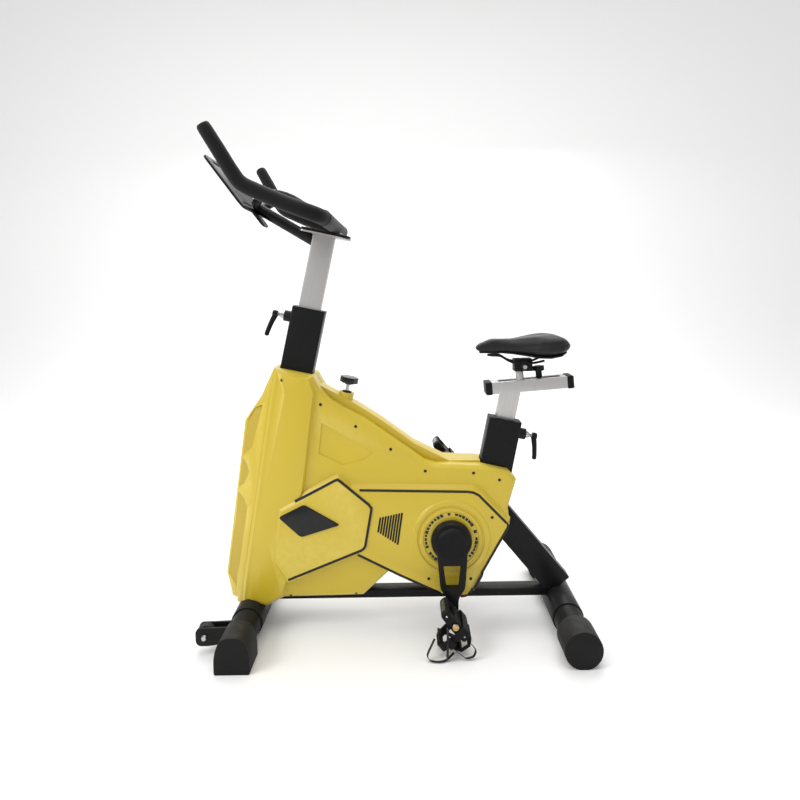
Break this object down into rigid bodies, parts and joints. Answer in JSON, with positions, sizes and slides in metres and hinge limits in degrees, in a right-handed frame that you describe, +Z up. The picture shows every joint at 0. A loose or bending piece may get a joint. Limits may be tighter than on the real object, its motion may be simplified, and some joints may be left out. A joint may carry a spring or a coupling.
{
  "type": "exercise bike",
  "caption": "Indoor cycling bike with an enclosed belt-driven flywheel, adjustable handlebar and saddle, toe-cage pedals and transport wheels.",
  "frame": {"origin": "middle of the bike's footprint, on the floor", "axes": "+X towards the rear, -X towards the front stabilizer, -Y towards the rider's left, +Z up"},
  "size_m": [1.0232, 0.5662, 1.3328],
  "materials": {
    "yellow_plastic": "moulded, satin gloss",
    "black_paint": "satin black powder coat",
    "black_plastic": "fine moulded grain",
    "grip_foam": "matte foam grip",
    "silver_metal": "satin anodized, fine lengthwise brushing",
    "bright_steel": "turned steel",
    "grey_iron": "turned cast iron",
    "foot_rubber": "matte rubber",
    "saddle_leather": "fine-grained black synthetic leather",
    "strap_webbing": "woven webbing",
    "brake_felt": "pressed felt"
  },
  "bodies": {
    "frame": {"front_stabilizer": "black_paint", "rear_stabilizer": "black_paint", "front_cap_left": "foot_rubber", "front_cap_right": "foot_rubber", "rear_cap_left": "foot_rubber", "rear_cap_right": "foot_rubber", "bottom_rail": "black_paint", "rear_strut": "black_paint", "main_beam": "black_paint", "handlebar_sleeve": "black_paint", "handlebar_bushing": "black_plastic", "seat_sleeve": "black_paint", "seat_bushing": "black_plastic", "fork_plate_left": "black_paint", "fork_plate_right": "black_paint", "crank_bracket": "black_paint", "bottom_bracket_cartridge": "bright_steel", "flywheel_bearing_left": "bright_steel", "flywheel_bearing_right": "bright_steel", "brake_guide": "black_plastic", "drive_belt": "foot_rubber", "left_cover": "yellow_plastic", "right_cover": "yellow_plastic", "front_cover": "yellow_plastic", "spine_cover": "yellow_plastic", "left_panel": "black_plastic", "right_panel": "black_plastic"},
    "flywheel": {"flywheel": "grey_iron", "flywheel_axle": "bright_steel"},
    "crank": {"crank_spindle": "bright_steel", "crank_arm_left": "black_paint", "crank_arm_right": "black_paint", "drive_pulley": "grey_iron", "pedal_spindle_left": "bright_steel", "pedal_spindle_right": "bright_steel"},
    "left_pedal": {"pedal_left": "black_plastic", "toe_cage_left": "black_plastic", "toe_strap_left": "strap_webbing"},
    "right_pedal": {"pedal_right": "black_plastic", "toe_cage_right": "black_plastic", "toe_strap_right": "strap_webbing"},
    "brake_rod": {"brake_rod": "bright_steel", "brake_pad": "brake_felt"},
    "resistance_knob": {"resistance_knob": "black_plastic"},
    "handlebar": {"handlebar_post": "silver_metal", "handlebar_plate": "black_paint", "handlebar": "grip_foam", "grip_loop": "black_paint", "tablet_tray": "black_plastic"},
    "handlebar_clamp": {"handlebar_clamp_lever": "black_plastic"},
    "seat_post": {"seat_post": "silver_metal"},
    "seat_clamp": {"seat_clamp_lever": "black_plastic"},
    "seat_slider": {"seat_slider": "silver_metal", "saddle_clamp": "black_plastic"},
    "slider_knob": {"slider_knob": "black_plastic"},
    "saddle": {"saddle_rails": "black_paint", "saddle_base": "black_plastic", "saddle_pad": "saddle_leather"},
    "left_wheel": {"transport_wheel_left": "foot_rubber"},
    "right_wheel": {"transport_wheel_right": "foot_rubber"}
  },
  "joints": [
    {"name": "flywheel_spin", "type": "hinge", "parent": "frame", "child": "flywheel", "pos_m": [-0.24, 0, 0.308], "axis": [0, 1, 0], "continuous": true},
    {"name": "crank_spin", "type": "hinge", "parent": "frame", "child": "crank", "pos_m": [0.157, 0, 0.253], "axis": [0, 1, 0], "continuous": true},
    {"name": "left_pedal_spin", "type": "hinge", "parent": "crank", "child": "left_pedal", "pos_m": [0.157, -0.161, 0.083], "axis": [0, 1, 0], "continuous": true},
    {"name": "right_pedal_spin", "type": "hinge", "parent": "crank", "child": "right_pedal", "pos_m": [0.157, 0.161, 0.423], "axis": [0, 1, 0], "continuous": true},
    {"name": "brake_push", "type": "slide", "parent": "frame", "child": "brake_rod", "axis": [-0.2079, 0, -0.9781], "range_m": [0, 0.004], "stiffness_N_per_m": 900, "springref_m": -0.004},
    {"name": "resistance_turn", "type": "hinge", "parent": "brake_rod", "child": "resistance_knob", "pos_m": [-0.126, 0, 0.644], "axis": [0.2079, 0, 0.9781], "range_deg": [-360, 720]},
    {"name": "handlebar_height", "type": "slide", "parent": "frame", "child": "handlebar", "axis": [0.2164, 0, 0.9763], "range_m": [-0.155, 0.06]},
    {"name": "handlebar_clamp_turn", "type": "hinge", "parent": "frame", "child": "handlebar_clamp", "pos_m": [-0.29693, 0, 0.862], "axis": [-0.9763, 0, 0.2164], "range_deg": [-90, 90]},
    {"name": "seat_height", "type": "slide", "parent": "frame", "child": "seat_post", "axis": [0.2079, 0, 0.9781], "range_m": [-0.05, 0.2]},
    {"name": "seat_clamp_turn", "type": "hinge", "parent": "frame", "child": "seat_clamp", "pos_m": [0.37532, 0, 0.51593], "axis": [0.9781, 0, -0.2079], "range_deg": [-90, 90]},
    {"name": "seat_fore_aft", "type": "slide", "parent": "seat_post", "child": "seat_slider", "axis": [0.9976, 0, 0.0698], "range_m": [-0.05, 0.05]},
    {"name": "slider_knob_turn", "type": "hinge", "parent": "seat_slider", "child": "slider_knob", "pos_m": [0.41697, 0, 0.66043], "axis": [-0.0698, 0, 0.9976], "range_deg": [-180, 180]},
    {"name": "saddle_tilt", "type": "hinge", "parent": "seat_slider", "child": "saddle", "pos_m": [0.37, 0, 0.72], "axis": [0, 1, 0], "range_deg": [-10, 10]},
    {"name": "left_wheel_spin", "type": "hinge", "parent": "frame", "child": "left_wheel", "pos_m": [-0.485, -0.15, 0.047], "axis": [0, 1, 0], "continuous": true},
    {"name": "right_wheel_spin", "type": "hinge", "parent": "frame", "child": "right_wheel", "pos_m": [-0.485, 0.15, 0.047], "axis": [0, 1, 0], "continuous": true}
  ],
  "couplings": [
    {"joint": "crank_spin", "follows": "flywheel_spin", "ratio": 0.22727}
  ]
}
